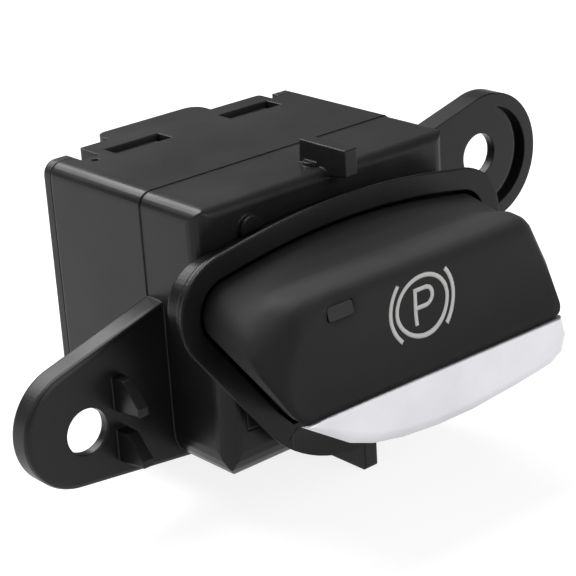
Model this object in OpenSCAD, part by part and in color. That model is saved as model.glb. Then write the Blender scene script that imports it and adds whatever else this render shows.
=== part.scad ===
// Electric parking brake switch, in millimetres.
// X runs from ear to ear, -Y is the side the driver sees, Z is up.
// The origin is the midpoint between the two fixing holes.

/* [Housing] */
// Width of the box
body_w = 42; // [36:0.5:60]
// Height of the box
body_h = 35.3; // [30:0.1:50]
// Depth of the box from front face to cover seam
body_d = 29.8; // [26:0.1:45]
// Y of the box's front face
body_front = -8.1; // [-12:0.1:-6]
// Wall thickness
wall = 2; // [1.6:0.1:2.4]
// Step of the mould parting line
parting_step = 0.12; // [0.05:0.01:0.3]

/* [Ears] */
// Half the distance between the fixing holes along X
hole_x = 32.25; // [29:0.25:45]
// Half the distance between the fixing holes along Z
hole_z = 9.75; // [8:0.25:14]
// Radius of a fixing hole
hole_r = 3; // [2:0.05:3.4]
// Thickness of an ear
ear_t = 3.1; // [2.8:0.1:5]
// Thickness of the web round a fixing hole
ear_web = 1.3; // [1:0.1:1.8]
// Outer radius of the left ear
ear_r_left = 7.9; // [6:0.1:10]
// Outer radius of the right ear
ear_r_right = 9; // [7.5:0.1:11]

/* [Bezel and paddle] */
// Half width of the rim
rim_half_w = 26.65; // [24:0.05:34]
// Width of the rim's visible band
rim_band = 2.85; // [1.5:0.05:4]
// Thickness of the rim
rim_t = 2.25; // [1.5:0.05:3]
// Thickness of the rim's thin outer edge
rim_edge_t = 0.45; // [0.3:0.05:1]
// Wall of the paddle shell
shell = 1.8; // [1.4:0.1:2.4]
// Lean of the paddle's crisp edge from upright, in degrees
edge_lean = 40; // [20:1:55]
// Radius of the finger scoop in the face
scoop_r = 12; // [8:0.5:30]

/* [Mechanism] */
// Diameter of the hinge pin
pin_d = 2.5; // [1.5:0.1:3]
// Radial clearance of running fits
run_fit = 0.05; // [0.03:0.01:0.1]
// Distance of a pusher from the hinge axis
lever = 5; // [4:0.1:5.4]
// Radius of a pusher's stem
stem_r = 2; // [1.2:0.1:2.2]
// Wire diameter of the return springs
wire_d = 0.4; // [0.2:0.05:0.5]

/* [Hidden] */
$fn = 40;
e = 0.01;
gap = 0.1;

// Box
box_x = 1.7;
box_z = -1.3;
x0 = box_x - body_w / 2;
x1 = box_x + body_w / 2;
z0 = box_z - body_h / 2;
z1 = box_z + body_h / 2;
y0 = body_front;
y1 = body_front + body_d;
parting_y = y0 + 11.2;
left_edge_r = 1.8;
right_edge_r = 0.8;
low_edge_r = 4.5;
front_edge_r = 2.3;
roll_r = 1.2;
shoulder = 0.6;
seat_y = y0 + 11.6;
right_ear_y = -4.5;

// Lower front of the box stands forward of the upper front
step_y = y0 - 2.6;
step_top = -1;

// Roof over the rear cover and hood over the connector
tab_x = [-12.9, 18.3];
tab_end = y1 + 2.7;
hood_x = [-8, 9.5];
hood_end = y1 + 6.1;
hood_t = 1.6;
notch_x = [-15.7, -12.9];
nub_x = 19.7;

// Opening in the front wall for the collar
collar_side = 3;
collar_half_w = body_w / 2 - wall - collar_side;
collar_top = 8;
collar_low = -12;
collar_t = 1.6;
collar_end = -4;

// Rim of the bezel
rim_x = 0;
rim_z = 5.58;
rim_bow_z = -0.87;
rim_corner_r = 7.2;
rim_bow_r = 18.6;
rim_crown = 1.93;
rim_side = rim_half_w - rim_corner_r;
rim_turn = acos((rim_bow_r - rim_corner_r) / norm([rim_side, rim_z - rim_bow_z]))
    - atan2(rim_z - rim_bow_z, rim_side);
rim_back = step_y - 0.25;
rim_front = rim_back - rim_t;
floor_t = 0.6;
well_low = -12.23;
well_wall = 0.9;

// Hinge
axis_y = -6.5;
axis_z = 0;
hub_r = 2.4;
pusher_x = rim_x + 7;
tip_r = 1;
tip_y = axis_y + 3;
flange_r = 3.6;
flange_t = 1.5;
flange_y = tip_y + tip_r;
spring_y = flange_y + flange_t;
guide_y = seat_y;
guide_t = 2.2;
stem_end = guide_y + 4.7;

// Board stack
board_y = guide_y + 7.1;
board_t = 1.6;
mat_t = 1;
dome_h = 1.3;
rod_z = 4.6;
rod_inset = 3.5;
rod_x = [rim_x, rim_x - collar_half_w + rod_inset];
rod_r = [1.6, 1.2];
rod_front = -7;
led_h = 0.9;
post_x = [x0 + 4.5, x1 - 4.5];
post_z = [z0 + 4.5, z1 - 4.5];

// Rear cover and connector socket
seam = 0.1;
cover_y = y1 + seam;
cover_t = 1.4;
socket_x = 0.5;
socket_z = 6;
socket_w = 14.3;
socket_h = 9.9;
socket_t = 1.25;
slots = [[-11.1, -2.15], [8.25, 17]];
slot_y = [y1 - 3.5, y1 - 0.4];
pin_pitch = 2.54;

// Paddle
edge_y = -16.65;
edge_z = 9.92;
edge_len = 18;
edge_half_w = rim_half_w - 0.35;
lip_half_w = rim_half_w - 4.55;
face_half_w = rim_half_w - 5.75;
lip_y = edge_y - edge_len * sin(edge_lean);
lip_z = edge_z - edge_len * cos(edge_lean);
skirt_y = rim_front + 0.4;
skirt_gap = 0.55;
face_top = 8;
face_y = -25.75;
symbol_z = 3.42;

node_colour = [0.2, 0.2, 0.21];

// Arc that rounds the corner b between a and c
function unit(v) = v / norm(v);
function corner(a, b, c, r) = r <= 0 ? [b] :
    let (u = unit(a - b), w = unit(c - b), h = acos(u * w) / 2,
        m = b + unit(u + w) * (r / sin(h)),
        p = b + u * (r / tan(h)) - m, q = b + w * (r / tan(h)) - m,
        s = p.x * q.y - p.y * q.x > 0 ? 1 : -1, sweep = 180 - 2 * h, n = 6)
    [for (i = [0:n]) let (t = s * sweep * i / n)
        m + [p.x * cos(t) - p.y * sin(t), p.x * sin(t) + p.y * cos(t)]];
function rounded(pts, radii) = let (n = len(pts))
    [for (i = [0:n - 1]) each corner(pts[(i + n - 1) % n], pts[i], pts[(i + 1) % n], radii[i])];
function arc(c, r, from, to, n = 16) =
    [for (i = [0:n]) c + r * [cos(from + (to - from) * i / n), sin(from + (to - from) * i / n)]];

// Prism of an X-Z outline from ya back to yb
module along_y(ya, yb) {
    translate([0, yb, 0])
        rotate([90, 0, 0])
            linear_extrude(height = yb - ya)
                children();
}

// Prism of a Y-Z outline from xa to xb
module along_x(xa, xb) {
    translate([xa, 0, 0])
        rotate([90, 0, 90])
            linear_extrude(height = xb - xa)
                children();
}

module block(x, y, z) {
    translate([x[0], y[0], z[0]])
        cube([x[1] - x[0], y[1] - y[0], z[1] - z[0]]);
}

module rod_y(x, z, r, ya, yb) {
    translate([x, yb, z])
        rotate([90, 0, 0])
            cylinder(h = yb - ya, r = r);
}

// X-Z outline of the box, grown by g
module box_outline(g) {
    polygon(rounded([[x0 - g, z0 - g], [x1 + g, z0 - g], [x1 + g, z1 + g], [x0 - g, z1 + g]],
        [low_edge_r, low_edge_r, right_edge_r, left_edge_r]));
}

module box_form() {
    intersection() {
        union() {
            along_y(y0, y1) box_outline(0);
            along_y(parting_y, y1) box_outline(parting_step);
        }
        translate([0, 0, z0 - 5])
            linear_extrude(height = body_h + 10)
                polygon(rounded([[x0 - 1, y1], [x0, y0 + 3], [x0, y0], [x1, y0], [x1, y0 + 3],
                    [x1 + 1, y1]], [0, 0, front_edge_r, front_edge_r, 0, 0]));
        along_x(x0 - 5, x1 + 5)
            polygon(rounded([[y0, z0], [y1, z0 - 1], [y1, z1 + 1], [y0 + 3, z1], [y0, z1]],
                [3.5, 0, 0, 0, roll_r]));
    }
}

// Lower front of the box behind the rim
module low_front() {
    intersection() {
        along_y(step_y, y0 + 4) box_outline(0);
        translate([0, 0, z0 - 1])
            linear_extrude(height = step_top - z0 + 1)
                polygon(rounded([[x0, y0 + 4], [x0, step_y], [x1, step_y], [x1, y0 + 4]],
                    [0, front_edge_r, front_edge_r, 0]));
        along_x(x0 - 1, x1 + 1)
            polygon(rounded([[step_y, z0], [y0 + 5, z0], [y0 + 5, 0], [step_y, 0]], [4.3, 0, 0, 0]));
    }
}

// Outline of the left ear, wall is taken off all round
module left_ear_outline(inset) {
    polygon(concat([[x0 + 4.3 - inset, z0 + inset * 1.1], [x0 + 4.3 - inset, z1 - 11.9 - inset]],
        arc([-hole_x - 0.75, -hole_z + 0.7], ear_r_left - inset, 106.4, 263.3, 40)));
}

module right_ear_outline(inset) {
    polygon(concat([[x1 - 3, z0 + 13.6 + inset]],
        arc([hole_x + 1.95, hole_z - 0.9], ear_r_right - inset, -73.6, 101.3, 44),
        [[x1 - 3, z1 - 1.9 - inset]]));
}

// Guide rib on the left ear, thin along X with its front top corner cut off
module ear_rib(za, zb) {
    along_x(-28, -26.5)
        polygon([[-5, za + 0.6], [e, za], [e, zb], [-2.2, zb], [-5, zb - 2.8]]);
}

module left_ear() {
    difference() {
        union() {
            along_y(0.7, ear_t) left_ear_outline(0);
            hull() {
                along_y(0, 0.1) left_ear_outline(0.7);
                along_y(0.2, 0.3) left_ear_outline(0.2);
                along_y(0.7, 0.8) left_ear_outline(0);
            }
        }
        difference() {
            along_y(ear_web, ear_t + e) left_ear_outline(wall);
            block([x0 - 6, x0 - 4.6], [1, ear_t], [z0, z1]);
        }
    }
    ear_rib(-8.5, -4);
    ear_rib(-15.3, -11);
}

// The right ear has a crescent groove round the flat land of its hole
module right_ear() {
    difference() {
        along_y(right_ear_y, right_ear_y + ear_t) right_ear_outline(0);
        difference() {
            along_y(right_ear_y - e, right_ear_y + ear_t - ear_web) right_ear_outline(1.85);
            rod_y(hole_x, hole_z, 7, right_ear_y - 1, right_ear_y + ear_t);
            block([x1 - 4, x1 + 6.5], [right_ear_y - 1, 0], [z0, z1 + 2]);
        }
        rod_y(hole_x, hole_z, 5.7, right_ear_y + ear_web, 1);
    }
}

module top_fin() {
    along_x(1.75, 3.7)
        polygon([[-2.6, z1 - 1], [-2.9, z1 + 2.95], [-11.2, z1 + 2.95], [-11.2, z1 - 0.5],
            [y0 + 0.2, z1 - 0.9], [y0 + 2, z1 - 2]]);
    translate([1.95, -4.8, z1 - 1])
        cylinder(h = 1.5, r = 1.2);
}

module bottom_fin() {
    along_x(2.9, 5)
        polygon(rounded([[-1.5, z0 + 1], [-1.5, z0 - 5.7], [step_y - 0.15, z0 - 5.7],
            [step_y - 0.15, z0 + 1], [step_y + 3, z0 + 3]], [0, 0.6, 0.4, 0, 0]));
}

// Roof of the box that reaches over the rear cover, with the hood over the connector
module roof() {
    translate([0, 0, z1 - hood_t])
        linear_extrude(height = hood_t + parting_step) {
            polygon(rounded([[tab_x[0], y1 - 1], [tab_x[0], tab_end], [tab_x[1], tab_end],
                [tab_x[1], y1 - 1]], [0, 0.6, 0.6, 0]));
            polygon(rounded([[hood_x[0], y1 - 1], [hood_x[0], hood_end], [hood_x[1], hood_end],
                [hood_x[1], y1 - 1]], [0, 2, 2, 0]));
        }
}

module snap_slots() {
    for (s = slots) {
        block([s[0], s[1]], slot_y, [z1 - wall - 1, z1 + 1]);
        block([s[0], s[1]], slot_y, [z0 - 1, z0 + wall + 1]);
    }
}

module housing() {
    color(node_colour)
    difference() {
        union() {
            box_form();
            low_front();
            roof();
            left_ear();
            right_ear();
            top_fin();
            bottom_fin();
            rod_y(-11.65, 12.55, 1.6, y0 - 0.7, y0 + 1);
        }
        block([x0 + wall, x1 - wall], [seat_y, y1 + 1], [z0 + wall, z1 - wall]);
        block([x0 + wall + shoulder, x1 - wall - shoulder], [y0 + wall, seat_y + e],
            [z0 + wall + shoulder, z1 - wall - shoulder]);
        block([rim_x - collar_half_w - gap, rim_x + collar_half_w + gap],
            [step_y - 1, y0 + wall + e], [collar_low - gap, collar_top + gap]);
        along_y(step_y - 1, y0) well_outline(-well_wall - gap);
        rod_y(-hole_x, -hole_z, hole_r, -1, ear_t + 1);
        rod_y(hole_x, hole_z, hole_r, -6, 1);
        snap_slots();
        block(notch_x, [y1 - 1.9, y1 + 1], [z1 - wall - 1, z1 + 1]);
        translate([-14.5, y1 - 3.2, z1 - wall - 1])
            cylinder(h = wall + 2, r = 0.5);
    }
}

// Terminal pin positions, two rows of four
pins = [for (i = [0:3]) for (j = [0:1])
    [socket_x + (i - 1.5) * pin_pitch, socket_z + (j - 0.5) * pin_pitch]];

module snap_tongue(s, zr, dir) {
    block([s[0] + 0.6, s[1] - 0.6], [slot_y[0] - 0.6, cover_y + e],
        dir > 0 ? [zr - 1.2, zr] : [zr, zr + 1.2]);
    along_x(s[0] + 0.6, s[1] - 0.6)
        polygon([[slot_y[0] + 0.2, zr - dir * 0.6], [slot_y[0] + 0.2, zr],
            [slot_y[1] - 1, zr + dir * 1.4], [slot_y[1] - 0.06, zr + dir * 1.4],
            [slot_y[1] - 0.06, zr - dir * 0.6]]);
}

module rear_cover() {
    color(node_colour)
    difference() {
        union() {
            along_y(cover_y, cover_y + cover_t) box_outline(parting_step);
            block([socket_x - socket_w / 2, socket_x + socket_w / 2],
                [board_y + board_t + gap, cover_y + e],
                [socket_z - socket_h / 2, socket_z + socket_h / 2]);
            for (x = post_x)
                for (z = post_z)
                    rod_y(x, z, 2, board_y + board_t, cover_y + e);
            for (s = slots) {
                snap_tongue(s, z1 - wall - gap, 1);
                snap_tongue(s, z0 + wall + gap, -1);
            }
            along_y(y1, cover_y + e) box_outline(-0.8);
        }
        block([notch_x[0], nub_x], [y1 - e, cover_y + cover_t + 1], [z1 - hood_t - gap, z1 + 1]);
        block([socket_x - socket_w / 2 + socket_t, socket_x + socket_w / 2 - socket_t],
            [board_y + board_t + 1.6, cover_y + cover_t + 1],
            [socket_z - socket_h / 2 + socket_t, socket_z + socket_h / 2 - socket_t]);
        for (p = pins)
            rod_y(p.x, p.y, 0.55, board_y, cover_y);
    }
}

// Outline of the rim, grown by g
module rim_outline(g) {
    polygon(concat(
        arc([rim_x + rim_side, rim_z], rim_corner_r + g, -rim_turn, 84, 20),
        [for (i = [-7:7]) [rim_x - rim_side * i / 8,
            rim_z + rim_corner_r + g + rim_crown * (1 - i * i / 64)]],
        arc([rim_x - rim_side, rim_z], rim_corner_r + g, 96, 180 + rim_turn, 20),
        arc([rim_x, rim_bow_z], rim_bow_r + g, 180 + rim_turn, 360 - rim_turn, 24)));
}

// Opening the paddle's skirt moves in, inset by g
module well_outline(g) {
    intersection() {
        rim_outline(-rim_band - g);
        translate([rim_x - 40, well_low + g]) square([80, 40]);
    }
}

module bezel() {
    color(node_colour)
    difference() {
        union() {
            along_y(rim_front, rim_front + rim_edge_t) rim_outline(0);
            along_y(rim_front + rim_edge_t - e, rim_back) rim_outline(-1);
            along_y(rim_back - e, y0) well_outline(-well_wall);
            block([rim_x - collar_half_w, rim_x + collar_half_w], [y0 - floor_t, collar_end],
                [collar_low, collar_top]);
            for (x = [-9, 9])
                along_x(rim_x + x - 3, rim_x + x + 3)
                    polygon([[collar_end, collar_top - 0.5], [y0 + wall + 0.05, collar_top - 0.5],
                        [y0 + wall + 0.05, collar_top + 0.7], [collar_end, collar_top]]);
        }
        along_y(rim_front - 1, y0 - floor_t) well_outline(0);
        block([rim_x - collar_half_w + collar_t, rim_x + collar_half_w - collar_t],
            [y0 - 3, collar_end + 1], [collar_low + collar_t, collar_top - collar_t]);
        translate([rim_x, axis_y, axis_z])
            rotate([0, 90, 0])
                cylinder(h = 2 * collar_half_w + 2, d = pin_d, center = true);
        translate([rim_x, rim_front - 13.65, -16.4])
            rotate([0, 90, 0])
                cylinder(h = 22, r = 14, center = true);
    }
}

// Thin slab of the crisp edge outline in the leaning plane, moved inwards by g and out by n
module edge_slab(g, n) {
    translate([rim_x, edge_y, edge_z])
        rotate([90 - edge_lean, 0, 0])
            translate([0, 0, n - 0.1])
                linear_extrude(height = 0.1)
                    polygon(rounded([[-edge_half_w + g, -1.75 - g], [edge_half_w - g, -1.75 - g],
                        [lip_half_w - g, -edge_len + g * 0.8], [-lip_half_w + g, -edge_len + g * 0.8]],
                        [7.5, 7.5, 2.2, 2.2]));
}

// Cross-sections of the head from the face back: distance behind the face, growth, top
head = [[0, 0, 0], [0.4, 0.65, 0.65], [1.15, 1.3, 1.15], [2.15, 1.8, 1.3], [4.2, 2.4, 1.2]];

module head_outline(grow, rise) {
    w = face_half_w + grow;
    top = face_top + rise;
    polygon(rounded([[rim_x - w, -1], [rim_x - w - 0.3, 1.5], [rim_x - w + 2.7, top],
        [rim_x + w - 2.7, top], [rim_x + w + 0.3, 1.5], [rim_x + w, -1]], [0, 6, 3.5, 3.5, 6, 0]));
}

// Thin slab of the head at y, kept in front of the crisp edge's plane
module head_slab(y, grow, rise, g) {
    low = edge_z + (cos(edge_lean) * (y + 0.1 - edge_y) - g) / sin(edge_lean) + 0.1;
    along_y(y, y + 0.1)
        intersection() {
            head_outline(grow, rise);
            translate([rim_x - 40, low]) square([80, 40]);
        }
}

// Outer form of the paddle, inset by g all round: the skirt up to the crisp edge, then the head
module paddle_form(g) {
    hull() {
        along_y(skirt_y - 0.1, skirt_y) well_outline(skirt_gap + g);
        edge_slab(g, -g);
    }
    hull() {
        edge_slab(g, -g);
        for (h = head)
            head_slab(face_y + h[0] + g, h[1] - g, h[2] - g, g);
    }
}

// The face is upright round the symbol and sweeps forward to the lip below it
module scoop(g) {
    along_x(rim_x - 40, rim_x + 40)
        polygon(concat([[face_y - scoop_r, symbol_z + 20], [face_y + g, symbol_z + 20]],
            arc([face_y - scoop_r + g, symbol_z], scoop_r, 0, -90, 24)));
}

window = [rim_x - 13.4, face_top - 1, 3.9, 1.7];

module window_prism(g) {
    along_y(face_y - 6, face_y + 2.6)
        polygon(rounded([[window[0] - window[2] / 2 - g, window[1] - window[3] / 2 - g],
            [window[0] + window[2] / 2 + g, window[1] - window[3] / 2 - g],
            [window[0] + window[2] / 2 + g, window[1] + window[3] / 2 + g],
            [window[0] - window[2] / 2 - g, window[1] + window[3] / 2 + g]], [0.4, 0.4, 0.4, 0.4]));
}

boss_y = rim_front - 2;
boss_r = 2;
boss_inset = 11.65;
boss_x = (rim_half_w - boss_inset) * [-1, 1];

module paddle() {
    color(node_colour)
    difference() {
        paddle_form(0);
        difference() {
            union() {
                paddle_form(shell);
                along_y(skirt_y - shell - 1, skirt_y + 1) well_outline(skirt_gap + shell);
            }
            scoop(shell);
            for (x = boss_x)
                rod_y(rim_x + x, -3, boss_r, face_y - 6, boss_y);
        }
        scoop(0);
        window_prism(0.12);
    }
}

// Front outline of the trim strip, X from the middle and Z below the lip
trim_pts = [
    [-22, 0], [21.7, -0.09], [22.5, -3.18], [21.8, -5.1], [19.8, -6.11], [17.8, -6.39], [13, -6.88],
    [5.2, -7.42], [-0.8, -7.35], [-6.6, -6.84], [-11, -5.98], [-14.8, -4.58], [-17.4, -2.74],
    [-19.4, -1.04]
];
trim_roll = [[-0.45, 1.3], [-0.3, 0.7], [0, 0.2], [0.4, 0]];
trim_gap = 0.12;
trim_k = rim_half_w / 26.65;
trim_foot_x = [-12, 16];
trim_foot = [[6, -3.2], [8, -3.9], [8, -5], [6, -5.4]];

module lip_trim() {
    color([0.8, 0.8, 0.82])
    difference() {
        hull() {
            for (r = trim_roll)
                along_y(lip_y + r[0], lip_y + r[0] + 0.1)
                    polygon([for (p = trim_pts) [rim_x + p.x * (trim_k - r[1] / 30),
                        lip_z - trim_gap + p.y + (p.y < -1 ? r[1] : 0)]]);
            along_x(rim_x + trim_foot_x[0] * trim_k, rim_x + trim_foot_x[1] * trim_k)
                polygon([for (p = trim_foot) [lip_y + p.x, lip_z + p.y]]);
        }
        hull() paddle_form(0);
    }
}

module indicator_lens() {
    color([0.3, 0.2, 0.1])
    intersection() {
        difference() {
            paddle_form(0.1);
            paddle_form(shell + 0.6);
        }
        window_prism(0);
    }
}

// The diffuser lies on the inside of the paddle's face
diffuser_r = 4.8;

module symbol_diffuser() {
    color([0.9, 0.9, 0.9])
    difference() {
        intersection() {
            rod_y(rim_x, symbol_z, diffuser_r, face_y - 1, face_y + shell + 1.2);
            paddle_form(shell + e);
        }
        scoop(shell + e);
    }
}

// Inner lever: hub, plate behind the paddle, ribs and the two tips that press the pushers
plate_half_w = boss_x[1] + 2.5;
plate_z = [-7, 5.6];
rib_t = 2;
rib_z = [-5, 1.5];
rib_x = [-7, 4, collar_half_w - 3];
tip_w = 2.8;

module rocker() {
    color(node_colour)
    difference() {
        union() {
            translate([rim_x, axis_y, axis_z])
                rotate([0, 90, 0])
                    cylinder(h = 2 * (collar_half_w - collar_t) - 0.2, r = hub_r, center = true);
            intersection() {
                along_y(boss_y, boss_y + 1.6) well_outline(skirt_gap + shell + 0.5);
                block([rim_x - plate_half_w, rim_x + plate_half_w], [boss_y - 1, boss_y + 3], plate_z);
            }
            for (x = rib_x)
                block([rim_x + x - rib_t / 2, rim_x + x + rib_t / 2], [boss_y + 1, axis_y], rib_z);
            for (s = [-1, 1]) {
                block([pusher_x - tip_w / 2, pusher_x + tip_w / 2], [tip_y - tip_r, tip_y + tip_r * 0.3],
                    s > 0 ? [0, lever] : [-lever, 0]);
                translate([pusher_x, tip_y, s * lever])
                    rotate([0, 90, 0])
                        cylinder(h = tip_w, r = tip_r, center = true);
            }
            block([pusher_x - tip_w / 2, pusher_x + tip_w / 2], [axis_y, tip_y], [-2, 2]);
        }
        translate([rim_x, axis_y, axis_z])
            rotate([0, 90, 0])
                cylinder(h = 60, d = pin_d + 2 * run_fit, center = true);
        for (i = [0, 1])
            rod_y(rod_x[i], rod_z, rod_r[i] + 0.8, boss_y - 1, boss_y + 3);
    }
}

module hinge_pin() {
    color([0.7, 0.7, 0.72])
        translate([rim_x, axis_y, axis_z])
            rotate([0, 90, 0])
                cylinder(h = 2 * collar_half_w, d = pin_d, center = true);
}

sleeve_wall = 1.3;
sleeve_len = 3.5;
post_r = 2;

module guide_frame() {
    color([0.75, 0.75, 0.72])
    difference() {
        union() {
            block([x0 + wall + gap, x1 - wall - gap], [guide_y, guide_y + guide_t],
                [z0 + wall + gap, z1 - wall - gap]);
            for (s = [-1, 1])
                rod_y(pusher_x, s * lever, stem_r + sleeve_wall, guide_y, guide_y + sleeve_len);
            for (x = post_x)
                for (z = post_z)
                    rod_y(x, z, post_r, guide_y, board_y);
        }
        for (s = [-1, 1])
            rod_y(pusher_x, s * lever, stem_r + run_fit, guide_y - 1, guide_y + sleeve_len + 0.5);
        for (i = [0, 1])
            rod_y(rod_x[i], rod_z, rod_r[i] + gap, guide_y - 1, guide_y + guide_t + 0.8);
    }
}

module pusher(z) {
    color([0.9, 0.9, 0.88]) {
        rod_y(pusher_x, z, flange_r, flange_y, spring_y);
        rod_y(pusher_x, z, stem_r, spring_y - e, stem_end);
    }
}

module apply_pusher() {
    pusher(lever);
}

module release_pusher() {
    pusher(-lever);
}

coil_gap = 0.55;
coil_turns = 4.5;

// Round wire coil along Y with closed end turns
module coil(z, r, d, len, turns) {
    steps = 20;
    sides = 8;
    n = turns * steps;
    rise = len - d;
    function lift(i) = let (t = i / n, k = 0.75 / turns)
        t < k ? t * d * turns : t > 1 - k ? rise - (1 - t) * d * turns :
        k * d * turns + (t - k) * (rise - 2 * k * d * turns) / (1 - 2 * k);
    pts = [for (i = [0:n]) for (j = [0:sides - 1])
        let (a = 360 * i / steps, b = 360 * j / sides, q = r + d / 2 * cos(b))
        [q * cos(a), d / 2 + lift(i) + d / 2 * sin(b), q * sin(a)]];
    faces = concat(
        [for (i = [0:n - 1]) for (j = [0:sides - 1])
            [i * sides + j, i * sides + (j + 1) % sides,
                (i + 1) * sides + (j + 1) % sides, (i + 1) * sides + j]],
        [[for (j = [0:sides - 1]) sides - 1 - j]],
        [[for (j = [0:sides - 1]) n * sides + j]]);
    translate([pusher_x, spring_y, z])
        polyhedron(points = pts, faces = faces);
}

module apply_spring() {
    color([0.7, 0.7, 0.72])
        coil(lever, stem_r + coil_gap, wire_d, guide_y - spring_y, coil_turns);
}

module release_spring() {
    color([0.7, 0.7, 0.72])
        coil(-lever, stem_r + coil_gap, wire_d, guide_y - spring_y, coil_turns);
}

mat_rim = 4.5;
dome_r = [3, 2];

module contact_mat() {
    color([0.75, 0.75, 0.78]) {
        block([pusher_x - mat_rim, pusher_x + mat_rim], [board_y - mat_t, board_y],
            [-lever - mat_rim, lever + mat_rim]);
        for (s = [-1, 1])
            translate([pusher_x, board_y - mat_t + e, s * lever])
                rotate([90, 0, 0])
                    cylinder(h = dome_h, r1 = dome_r[0], r2 = dome_r[1]);
    }
}

board_gap = 1;

module circuit_board() {
    color([0.1, 0.35, 0.2])
        block([x0 + wall + board_gap, x1 - wall - board_gap], [board_y, board_y + board_t],
            [z0 + wall + board_gap, z1 - wall - board_gap]);
}

led_w = 1.6;

module led(i) {
    color([0.95, 0.9, 0.7])
        block([rod_x[i] - led_w / 2, rod_x[i] + led_w / 2], [board_y - led_h, board_y],
            [rod_z - led_w / 2, rod_z + led_w / 2]);
}

module indicator_led() {
    led(1);
}

module symbol_led() {
    led(0);
}

// Two rods joined by a bridge that rests on the guide frame
lamp_gap = 0.2;
bridge_t = 1;
bridge_rim = [2, 2.2];

module light_guide() {
    color([0.85, 0.9, 0.95]) {
        for (i = [0, 1])
            rod_y(rod_x[i], rod_z, rod_r[i], rod_front, board_y - led_h - lamp_gap);
        block([rod_x[1] - bridge_rim[0], rod_x[0] + bridge_rim[1]],
            [guide_y + guide_t, guide_y + guide_t + bridge_t],
            [rod_z - bridge_rim[0], rod_z + bridge_rim[1]]);
    }
}

pin_w = 0.64;
pin_short = 1.7;

module terminal_pins() {
    color([0.8, 0.75, 0.55])
        for (p = pins)
            block([p.x - pin_w / 2, p.x + pin_w / 2], [board_y + board_t, y1 - pin_short],
                [p.y - pin_w / 2, p.y + pin_w / 2]);
}

housing();
rear_cover();
bezel();
paddle();
lip_trim();
indicator_lens();
symbol_diffuser();
rocker();
hinge_pin();
guide_frame();
apply_pusher();
release_pusher();
apply_spring();
release_spring();
contact_mat();
circuit_board();
indicator_led();
symbol_led();
light_guide();
terminal_pins();
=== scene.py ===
"""Looks of the electric parking brake switch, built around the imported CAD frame."""

import math

import bmesh
import bpy
from mathutils import Matrix, Vector


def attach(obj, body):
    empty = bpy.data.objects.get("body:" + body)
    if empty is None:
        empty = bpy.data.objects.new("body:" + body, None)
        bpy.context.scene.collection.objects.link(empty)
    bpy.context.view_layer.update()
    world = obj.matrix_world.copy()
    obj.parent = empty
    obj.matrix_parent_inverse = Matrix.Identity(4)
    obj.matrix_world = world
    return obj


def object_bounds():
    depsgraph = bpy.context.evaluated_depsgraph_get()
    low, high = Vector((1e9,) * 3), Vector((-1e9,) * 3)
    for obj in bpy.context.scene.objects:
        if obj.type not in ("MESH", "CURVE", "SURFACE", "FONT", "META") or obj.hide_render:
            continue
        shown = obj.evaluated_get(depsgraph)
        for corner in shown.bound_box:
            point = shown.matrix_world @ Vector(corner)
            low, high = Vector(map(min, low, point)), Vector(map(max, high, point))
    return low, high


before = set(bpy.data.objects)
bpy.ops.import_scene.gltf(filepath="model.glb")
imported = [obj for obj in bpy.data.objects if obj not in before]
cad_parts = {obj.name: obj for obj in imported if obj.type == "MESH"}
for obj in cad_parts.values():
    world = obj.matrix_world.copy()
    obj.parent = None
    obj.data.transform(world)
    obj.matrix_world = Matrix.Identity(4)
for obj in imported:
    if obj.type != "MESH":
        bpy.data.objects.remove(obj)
cad_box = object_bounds()
MM = 0.001

# Camera, found from the photograph's edges
CAMERA_AT = Vector((-149.10, -177.90, 90.11)) * MM
CAMERA_RIGHT = Vector((0.7480, -0.6609, -0.0599))
CAMERA_UP = Vector((0.2840, 0.2373, 0.9290))
FOCAL_PX = 1931.2
FRAME_PX = 576
SENSOR_MM = 36
CLIP_M = (0.01, 20)

# Surfaces: the noise's own roughness and the range of it that is used, the pigment's clouds
# in mm, how far roughness goes either way, the strength of a grain, and the samples of a
# rounded edge
NOISE_ROUGH, NOISE_LOW, NOISE_HIGH = 0.55, 0.3, 0.7
CLOUD_MM = 14
ROUGH_SPREAD = 0.08
GRAIN_STRENGTH = 0.6
EDGE_SAMPLES = 10

# Parking brake symbol, in mm on the face: a P in a ring between two arcs
SYMBOL_X, SYMBOL_Z = -0.3, 3.64
RING_W, RING_H, STROKE = 4.2, 3.68, 0.55
ARC_R, ARC_HALF = 5.25, 42
# The right arc's lower half, flatter where the face sweeps forward
LOW_ARC, LOW_SQUASH = 47, 0.87
# The P: its stem left of the middle, its foot, its top and its bowl
STEM_LEFT, FOOT, TOP = 1.15, 2.3, 2.1
BOWL_RIGHT, BOWL_R = 0.55, 1.15
# The strip's height, half of it sunk into the face
SYMBOL_H = 0.1
# Where the paths stand in front of the part in mm, and how far they look back in m
PATH_Y = -60
LOOK_BACK_M = 0.1

# Mould seam across the rim, as X and Z
SEAM = ((-11.65, -14.2), (-10.2, -12.85))
SEAM_W, SEAM_H = 0.1, 0.04

# Front wall of the housing: its face in Y, and the opening for the collar in X and Z
FRONT_FACE_Y, OPENING_HALF_W, OPENING_LOW = -10.7, 16.08, -12.08
# Edge of the bezel's base where it leaves the opening's lower corners free, as X and Z
BASE_EDGE = ((12.5, -12.08), (13.3, -11.2), (16.08, -7.6))
# The corner skin's back and front, behind the front face
SKIN_BACK, SKIN_FRONT = 0.6, 0.02

# Studio: a white sweep below the part, a dim fill, and soft lamps
FLOOR_GAP_M, FLOOR_HALF_M = 0.0002, 3
PAPER, PAPER_GLOW = "#909090", 0.84
FILL, BACKDROP = 0.19, 1.0
WHITE = (1, 1, 1, 1)
LAMPS = (
    ("top_soft", (-0.05, 0.42, 0.66), 0.7, 13.0),
    ("left_soft", (-0.7, 0.25, 0.35), 0.6, 0.6),
    ("front_soft", (0.2, -0.85, 0.35), 0.5, 4.2),
)


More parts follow.
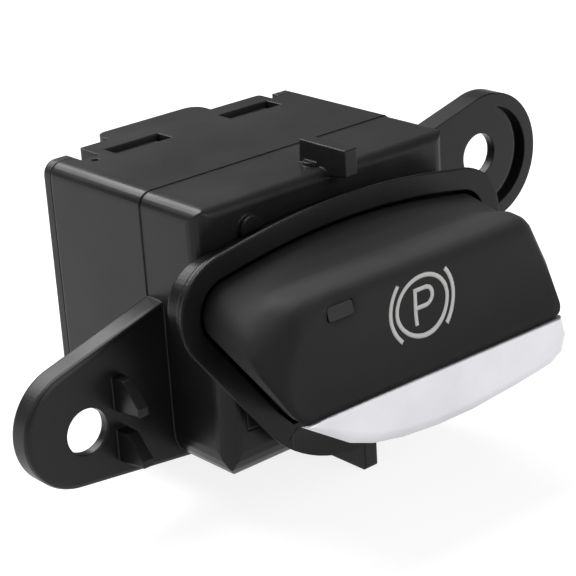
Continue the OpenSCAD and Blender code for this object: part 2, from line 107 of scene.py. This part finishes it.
def linear(code):
    """sRGB hex to a linear colour with alpha."""
    parts = [int(code[i:i + 2], 16) / 255 for i in (1, 3, 5)]
    return [c / 12.92 if c <= 0.04045 else ((c + 0.055) / 1.055) ** 2.4 for c in parts] + [1]


def add(tree, kind, settings=None, **links):
    """Adds a node. Its inputs are named, or numbered after an i, and each gets a value or
    another node's output."""
    n = tree.nodes.new(kind if "Node" in kind else "ShaderNode" + kind)
    for key, value in (settings or {}).items():
        setattr(n, key, value)
    for key, value in links.items():
        numbered = key[0] == "i" and key[1:].isdigit()
        socket = n.inputs[int(key[1:]) if numbered else key.replace("_", " ")]
        if isinstance(value, bpy.types.NodeSocket):
            tree.links.new(value, socket)
        else:
            socket.default_value = value
    return n


def link_object(name, data):
    obj = bpy.data.objects.new(name, data)
    bpy.context.scene.collection.objects.link(obj)
    return obj


def make_camera():
    data = bpy.data.cameras.new("camera")
    cam = link_object("camera", data)
    right = CAMERA_RIGHT.normalized()
    back = right.cross(CAMERA_UP).normalized()
    up = back.cross(right)
    turn = Matrix((right, up, back)).transposed().to_4x4()
    cam.matrix_world = Matrix.Translation(CAMERA_AT) @ turn
    data.sensor_width = SENSOR_MM
    data.lens = FOCAL_PX / FRAME_PX * SENSOR_MM
    data.clip_start, data.clip_end = CLIP_M
    bpy.context.scene.camera = cam


def begin(name):
    """Material with an empty tree but for its shader, and the object's coordinates."""
    mat = bpy.data.materials.new(name)
    mat.use_nodes = True
    tree = mat.node_tree
    tree.nodes.clear()
    shader = add(tree, "BsdfPrincipled")
    add(tree, "OutputMaterial", Surface=shader.outputs[0])
    where = add(tree, "TexCoord").outputs["Object"]
    return mat, tree, shader, where


def drift(tree, shader, where, size_mm, dark, light, rough, spread):
    """Colour between two tones, and roughness either way of its middle, that drift together."""
    cloud = add(tree, "TexNoise", Vector=where, Scale=1000 / size_mm, Detail=3,
                Roughness=NOISE_ROUGH).outputs[0]
    tone = add(tree, "Mix", {"data_type": "RGBA"}, i0=cloud, i6=linear(dark), i7=linear(light))
    tree.links.new(tone.outputs[2], shader.inputs["Base Color"])
    span = add(tree, "MapRange", i0=cloud, i1=NOISE_LOW, i2=NOISE_HIGH, i3=rough - spread,
               i4=rough + spread)
    tree.links.new(span.outputs[0], shader.inputs["Roughness"])


def relief(tree, shader, where, size_mm, strength, depth_mm, edge_mm=0.0):
    """Fine grain as bump, on edges that catch the light as a small radius does."""
    fine = add(tree, "TexNoise", Vector=where, Scale=1000 / size_mm, Roughness=NOISE_ROUGH)
    bump = add(tree, "Bump", Height=fine.outputs[0], Strength=strength, Distance=depth_mm * MM)
    if edge_mm:
        edge = add(tree, "Bevel", {"samples": EDGE_SAMPLES}, Radius=edge_mm * MM)
        tree.links.new(edge.outputs[0], bump.inputs["Normal"])
    tree.links.new(bump.outputs[0], shader.inputs["Normal"])


def fix(shader, **values):
    """Constants on the shader's own sockets."""
    for key, value in values.items():
        shader.inputs[key.replace("_", " ")].default_value = value


def moulded(name, dark, light, rough, grain_mm=0.35, depth_mm=0.012, specular=0.25, sheen=0.0,
            edge_mm=0.35):
    """Moulded plastic, or a paint, rubber or mask with a like skin: fine grain as bump, faint
    cloudiness of the pigment, roughness that varies with handling, and a small edge radius.
    The real grain is about 0.05 mm wide. It is drawn at 0.2 mm or more so it shows."""
    mat, tree, shader, where = begin(name)
    drift(tree, shader, where, CLOUD_MM, dark, light, rough, ROUGH_SPREAD)
    relief(tree, shader, where, grain_mm, GRAIN_STRENGTH, depth_mm, edge_mm)
    fix(shader, IOR=1.5, Specular_IOR_Level=specular)
    if sheen:
        fix(shader, Sheen_Weight=sheen, Sheen_Roughness=0.6)
    return mat


def satin_chrome(name):
    """Satin chrome plate over moulded plastic: bright metal, soft reflections and a faint
    cloudy haze. The blasted grain is drawn coarser than the real 0.05 mm so it shows."""
    mat, tree, shader, where = begin(name)
    drift(tree, shader, where, size_mm=9, dark="#bebec2", light="#dadadd", rough=0.31,
          spread=0.05)
    relief(tree, shader, where, size_mm=0.25, strength=0.3, depth_mm=0.004, edge_mm=0.5)
    fix(shader, Metallic=1)
    return mat


def metal(name, code, rough, line_mm):
    """Drawn or ground metal: fine lines along X as bump and uneven roughness. Real lines are
    about 0.02 mm wide. They are drawn coarser so they show."""
    mat, tree, shader, where = begin(name)
    stretch = add(tree, "Mapping", Vector=where, Scale=(0.1, 1, 1))
    lines = add(tree, "TexNoise", Vector=stretch.outputs[0], Scale=1000 / line_mm, Detail=3,
                Roughness=NOISE_ROUGH).outputs[0]
    span = add(tree, "MapRange", i0=lines, i1=0.2, i2=0.8, i3=rough - ROUGH_SPREAD,
               i4=rough + ROUGH_SPREAD)
    tree.links.new(span.outputs[0], shader.inputs["Roughness"])
    bump = add(tree, "Bump", Height=lines, Strength=0.3, Distance=0.01 * MM)
    tree.links.new(bump.outputs[0], shader.inputs["Normal"])
    fix(shader, Base_Color=linear(code), Metallic=1)
    return mat


def clear(name, code, through, rough, specular=0.5):
    """Clear or smoked moulded polymer with a faint waviness."""
    mat, tree, shader, where = begin(name)
    relief(tree, shader, where, size_mm=3, strength=0.2, depth_mm=0.02)
    fix(shader, Base_Color=linear(code), Roughness=rough, IOR=1.49,
        Specular_IOR_Level=specular, Transmission_Weight=through)
    return mat


def arc_path(cx, cz, r, start, end, steps, squash=1.0):
    turns = [math.radians(start + (end - start) * i / steps) for i in range(steps + 1)]
    return [(cx + r * math.cos(t), cz + squash * r * math.sin(t)) for t in turns]


def straight(a, b, steps):
    return [tuple(p + (q - p) * i / steps for p, q in zip(a, b)) for i in range(steps + 1)]


def stroke_tree():
    """Strip of even width and height that follows flat paths and lies on a surface behind them."""
    tree = bpy.data.node_groups.new("laid_stroke", "GeometryNodeTree")
    for name, kind in (("Paths", "Geometry"), ("Surface", "Object"), ("Width", "Float"),
                       ("Height", "Float"), ("Start Y", "Float"), ("Material", "Material")):
        tree.interface.new_socket(name, in_out="INPUT", socket_type="NodeSocket" + kind)
    tree.interface.new_socket("Strip", in_out="OUTPUT", socket_type="NodeSocketGeometry")
    given = add(tree, "NodeGroupInput").outputs
    line = add(tree, "GeometryNodeMeshToCurve", Mesh=given["Paths"])
    level = add(tree, "GeometryNodeSetCurveNormal", {"mode": "Z_UP"}, Curve=line.outputs[0])
    section = add(tree, "GeometryNodeCurvePrimitiveQuadrilateral", Width=given["Width"],
                  Height=given["Height"])
    strip = add(tree, "GeometryNodeCurveToMesh", Curve=level.outputs[0],
                Profile_Curve=section.outputs[0], Fill_Caps=True)
    upright = add(tree, "GeometryNodeTransform", Geometry=strip.outputs[0],
                  Rotation=(math.pi / 2, 0, 0))
    at = add(tree, "SeparateXYZ", Vector=add(tree, "GeometryNodeInputPosition").outputs[0])
    start = add(tree, "CombineXYZ", X=at.outputs[0], Y=given["Start Y"], Z=at.outputs[2])
    surface = add(tree, "GeometryNodeObjectInfo", {"transform_space": "RELATIVE"},
                  Object=given["Surface"])
    hit = add(tree, "GeometryNodeRaycast", Target_Geometry=surface.outputs["Geometry"],
              Source_Position=start.outputs[0], Ray_Direction=(0, 1, 0), Ray_Length=LOOK_BACK_M)
    found = add(tree, "SeparateXYZ", Vector=hit.outputs["Hit Position"])
    depth = add(tree, "Math", i0=found.outputs[1], i1=at.outputs[1])
    place = add(tree, "CombineXYZ", X=at.outputs[0], Y=depth.outputs[0], Z=at.outputs[2])
    laid = add(tree, "GeometryNodeSetPosition", Geometry=upright.outputs[0],
               Position=place.outputs[0])
    real = add(tree, "GeometryNodeRealizeInstances", Geometry=laid.outputs[0])
    clad = add(tree, "GeometryNodeSetMaterial", Geometry=real.outputs[0],
               Material=given["Material"])
    add(tree, "NodeGroupOutput", i0=clad.outputs[0])
    return tree


def lay_strokes(name, tree, paths, width, height, surface, mat, body):
    """Runs the stroke tree over paths of X and Z in mm, each with whether it closes."""
    flat = bpy.data.meshes.new(name + "_paths")
    points, edges = [], []
    for path, closed in paths:
        first = len(points)
        points += [(x * MM, z * MM, 0) for x, z in path]
        edges += [(i, i + 1) for i in range(first, len(points) - 1)]
        if closed:
            edges.append((len(points) - 1, first))
    flat.from_pydata(points, edges, [])
    obj = link_object(name, flat)
    laid = obj.modifiers.new("laid_stroke", "NODES")
    laid.node_group = tree
    sizes = {"Surface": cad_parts[surface], "Width": width * MM, "Height": height * MM,
             "Start Y": PATH_Y * MM, "Material": mat}
    for socket in tree.interface.items_tree:
        if socket.name in sizes:
            laid[socket.identifier] = sizes[socket.name]
    result = obj.evaluated_get(bpy.context.evaluated_depsgraph_get())
    obj.data = bpy.data.meshes.new_from_object(result)
    obj.data.name = name
    obj.modifiers.clear()
    bpy.data.meshes.remove(flat)
    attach(obj, body)
    return obj


def make_symbol(tree, mat):
    middle = (SYMBOL_X, SYMBOL_Z)
    ring = arc_path(*middle, RING_W, 0, 360, 72, RING_H / RING_W)[:-1]
    left_arc = arc_path(*middle, ARC_R, 180 - ARC_HALF, 180 + ARC_HALF, 30)
    right_arc = arc_path(*middle, ARC_R, -LOW_ARC, 0, 18, LOW_SQUASH)[:-1]
    right_arc += arc_path(*middle, ARC_R, 0, ARC_HALF, 15)
    left, right, top = SYMBOL_X - STEM_LEFT, SYMBOL_X + BOWL_RIGHT, SYMBOL_Z + TOP
    waist = top - 2 * BOWL_R
    stem = straight((left, SYMBOL_Z - FOOT), (left, top + STROKE / 2), 16)
    bowl = straight((left, top), (right, top), 6)
    bowl += arc_path(right, top - BOWL_R, BOWL_R, 90, -90, 20)[1:]
    bowl += straight((right, waist), (left, waist), 6)[1:]
    paths = [(ring, True), (stem, False), (bowl, False), (left_arc, False), (right_arc, False)]
    return lay_strokes("brake_symbol", tree, paths, STROKE, SYMBOL_H, "paddle", mat, "lever")


def make_rim_seam(tree, mat):
    paths = [(straight(*SEAM, 4), False)]
    return lay_strokes("rim_seam", tree, paths, SEAM_W, SEAM_H, "bezel", mat, "body")


def prism_y(bm, outline, back, front):
    """Closed prism over an X-Z outline between two Y planes, in mm."""
    ends = [[bm.verts.new(Vector((x, y, z)) * MM) for x, z in outline] for y in (back, front)]
    for i in range(len(outline)):
        j = (i + 1) % len(outline)
        bm.faces.new((ends[0][i], ends[0][j], ends[1][j], ends[1][i]))
    bm.faces.new(ends[0][::-1])
    bm.faces.new(ends[1])


def mesh_from(name, bm, mat):
    mesh = bpy.data.meshes.new(name)
    bm.to_mesh(mesh)
    bm.free()
    mesh.materials.append(mat)
    return mesh


def make_front_skin(mat):
    """Skin that closes the lower corners of the collar's opening, just behind the front face."""
    bm = bmesh.new()
    for side in (-1, 1):
        corner = [(side * OPENING_HALF_W, OPENING_LOW)] + [(side * x, z) for x, z in BASE_EDGE]
        prism_y(bm, corner, FRONT_FACE_Y + SKIN_BACK, FRONT_FACE_Y + SKIN_FRONT)
    bmesh.ops.recalc_face_normals(bm, faces=bm.faces)
    obj = link_object("front_corner_skin", mesh_from("front_corner_skin", bm, mat))
    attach(obj, "body")
    return obj


def either(tree, rays, first, second, plain, shown):
    """One look for the two kinds of ray that are named, another for all others."""
    seen = add(tree, "Math", {"operation": "MAXIMUM"}, i0=rays.outputs[first],
               i1=rays.outputs[second])
    pick = add(tree, "MixShader", i0=seen.outputs[0], i1=plain.outputs[0], i2=shown.outputs[0])
    return pick.outputs[0]


def make_stage():
    """White paper sweep. The camera and reflections see it glow, other rays meet plain paper."""
    mat = bpy.data.materials.new("white_sweep")
    mat.use_nodes = True
    tree = mat.node_tree
    tree.nodes.clear()
    paper = add(tree, "BsdfDiffuse", Color=linear(PAPER))
    glow = add(tree, "Emission", Color=WHITE, Strength=PAPER_GLOW)
    both = add(tree, "AddShader", i0=paper.outputs[0], i1=glow.outputs[0])
    rays = add(tree, "LightPath")
    add(tree, "OutputMaterial",
        Surface=either(tree, rays, "Is Camera Ray", "Is Glossy Ray", paper, both))
    bm = bmesh.new()
    bmesh.ops.create_grid(bm, x_segments=1, y_segments=1, size=FLOOR_HALF_M)
    floor = link_object("floor", mesh_from("floor", bm, mat))
    floor.location = (0, 0, cad_box[0][2] - FLOOR_GAP_M)


def make_light():
    """Dim white fill, a white backdrop behind it, and lamps that all face the part."""
    world = bpy.data.worlds.new("studio")
    bpy.context.scene.world = world
    world.use_nodes = True
    tree = world.node_tree
    tree.nodes.clear()
    rays = add(tree, "LightPath")
    fill = add(tree, "Background", Color=WHITE, Strength=FILL)
    white = add(tree, "Background", Color=WHITE, Strength=BACKDROP)
    add(tree, "OutputWorld",
        Surface=either(tree, rays, "Is Camera Ray", "Is Transmission Ray", fill, white))
    for name, at, size, power in LAMPS:
        data = bpy.data.lights.new(name, "AREA")
        data.size = size
        data.energy = power
        lamp = link_object(name, data)
        lamp.location = at
        lamp.rotation_euler = (-Vector(at)).to_track_quat("-Z", "Y").to_euler()


make_camera()
make_stage()
make_light()

# Glass-filled nylon from a lightly eroded tool: near-black with broad, soft reflections
body_black = moulded("body_moulded_black_nylon", "#1c1c1d", "#252526", 0.34,
                     depth_mm=0.008, specular=0.2)
# The same nylon, duller, so the cover reads as a second moulding
cover_black = moulded("cover_moulded_black_nylon", "#1b1b1c", "#242425", 0.45)
# Deeper eroded rim: the darkest black, with a dry grain along its edge
rim_black = moulded("rim_spark_grained_black", "#0d0d0e", "#131314", 0.38,
                    grain_mm=0.3, depth_mm=0.03, specular=0.2)
# Soft-touch paint: even dark grey, little shine, a breath of sheen and softly rolled edges
soft_black = moulded("paddle_soft_touch_paint", "#232323", "#2a2a2a", 0.6, grain_mm=0.28,
                     depth_mm=0.025, specular=0.12, sheen=0.02, edge_mm=2.0)
# Thin flash of the rim's tool: one dark hairline
seam_black = moulded("rim_mould_seam", "#0a0a0a", "#0d0d0d", 0.5, specular=0.1, edge_mm=0.02)
# Plain moulded black of the inner parts: a touch lighter, evenly matt
inner_black = moulded("inner_moulded_black", "#1e1e20", "#28282a", 0.5)
# Unpigmented nylon: warm off-white with faint clouds
nylon = moulded("natural_nylon", "#c9c5b8", "#d8d5ca", 0.5, grain_mm=0.5)
# Acetal sliders: whiter and slicker than the nylon
acetal = moulded("white_acetal", "#dcdbd6", "#e8e7e2", 0.4, grain_mm=0.5,
                 depth_mm=0.006)
# Pressed silicone: soft light grey, no sharp reflections
silicone = moulded("grey_silicone", "#a9a9ad", "#b6b6ba", 0.6, grain_mm=0.8,
                   depth_mm=0.01)
# Screened solder mask: deep green with a shiny, slightly wavy skin
mask = moulded("green_solder_mask", "#123a20", "#174728", 0.3, grain_mm=1.2,
               depth_mm=0.01)
# Moulded light plate: milky white and smooth
diffuse_white = moulded("white_diffuser_plate", "#e4e4e0", "#efefec", 0.45, grain_mm=0.6,
                        depth_mm=0.005)
# Paint cut away by laser: matt light grey strokes with a crisp edge
etched = moulded("laser_etched_symbol", "#cfcfcd", "#d8d8d6", 0.55, grain_mm=0.2,
                 depth_mm=0.004, edge_mm=0.05)
# The trim: bright, with the studio's white in it, softened by the satin grain
chrome = satin_chrome("satin_chrome_plate")
# Centreless ground steel: bright with fine lines along the pin
pin_steel = metal("ground_steel", "#b8b8bb", rough=0.3, line_mm=0.2)
# Drawn spring wire: greyer, with the die's lines
wire = metal("drawn_spring_wire", "#a8a8ac", rough=0.32, line_mm=0.15)
# Plated brass of the terminals: pale gold
plated = metal("plated_brass", "#cdbb86", rough=0.3, line_mm=0.2)
# Smoked polycarbonate window: nearly black while the lamp is off
smoked = clear("smoked_lens", "#252423", through=0.1, rough=0.4, specular=0.25)
# Moulded acrylic light guide: water-clear with bright edges
acrylic = clear("clear_acrylic", "#eef2f4", through=0.95, rough=0.05)
# Cast epoxy of the lamps: yellowish and half clear
lamp_epoxy = clear("lamp_epoxy", "#e8dcae", through=0.4, rough=0.2)

for node, mat in (
        ("housing", body_black), ("rear_cover", cover_black), ("bezel", rim_black),
        ("paddle", soft_black), ("lip_trim", chrome), ("indicator_lens", smoked),
        ("symbol_diffuser", diffuse_white), ("rocker", inner_black), ("hinge_pin", pin_steel),
        ("guide_frame", nylon), ("apply_pusher", acetal), ("release_pusher", acetal),
        ("apply_spring", wire), ("release_spring", wire), ("contact_mat", silicone),
        ("circuit_board", mask), ("indicator_led", lamp_epoxy), ("symbol_led", lamp_epoxy),
        ("light_guide", acrylic), ("terminal_pins", plated)):
    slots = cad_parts[node].data.materials
    slots.clear()
    slots.append(mat)

strokes = stroke_tree()
make_symbol(strokes, etched)
make_front_skin(body_black)
make_rim_seam(strokes, seam_black)

bpy.context.scene.view_settings.view_transform = "Standard"
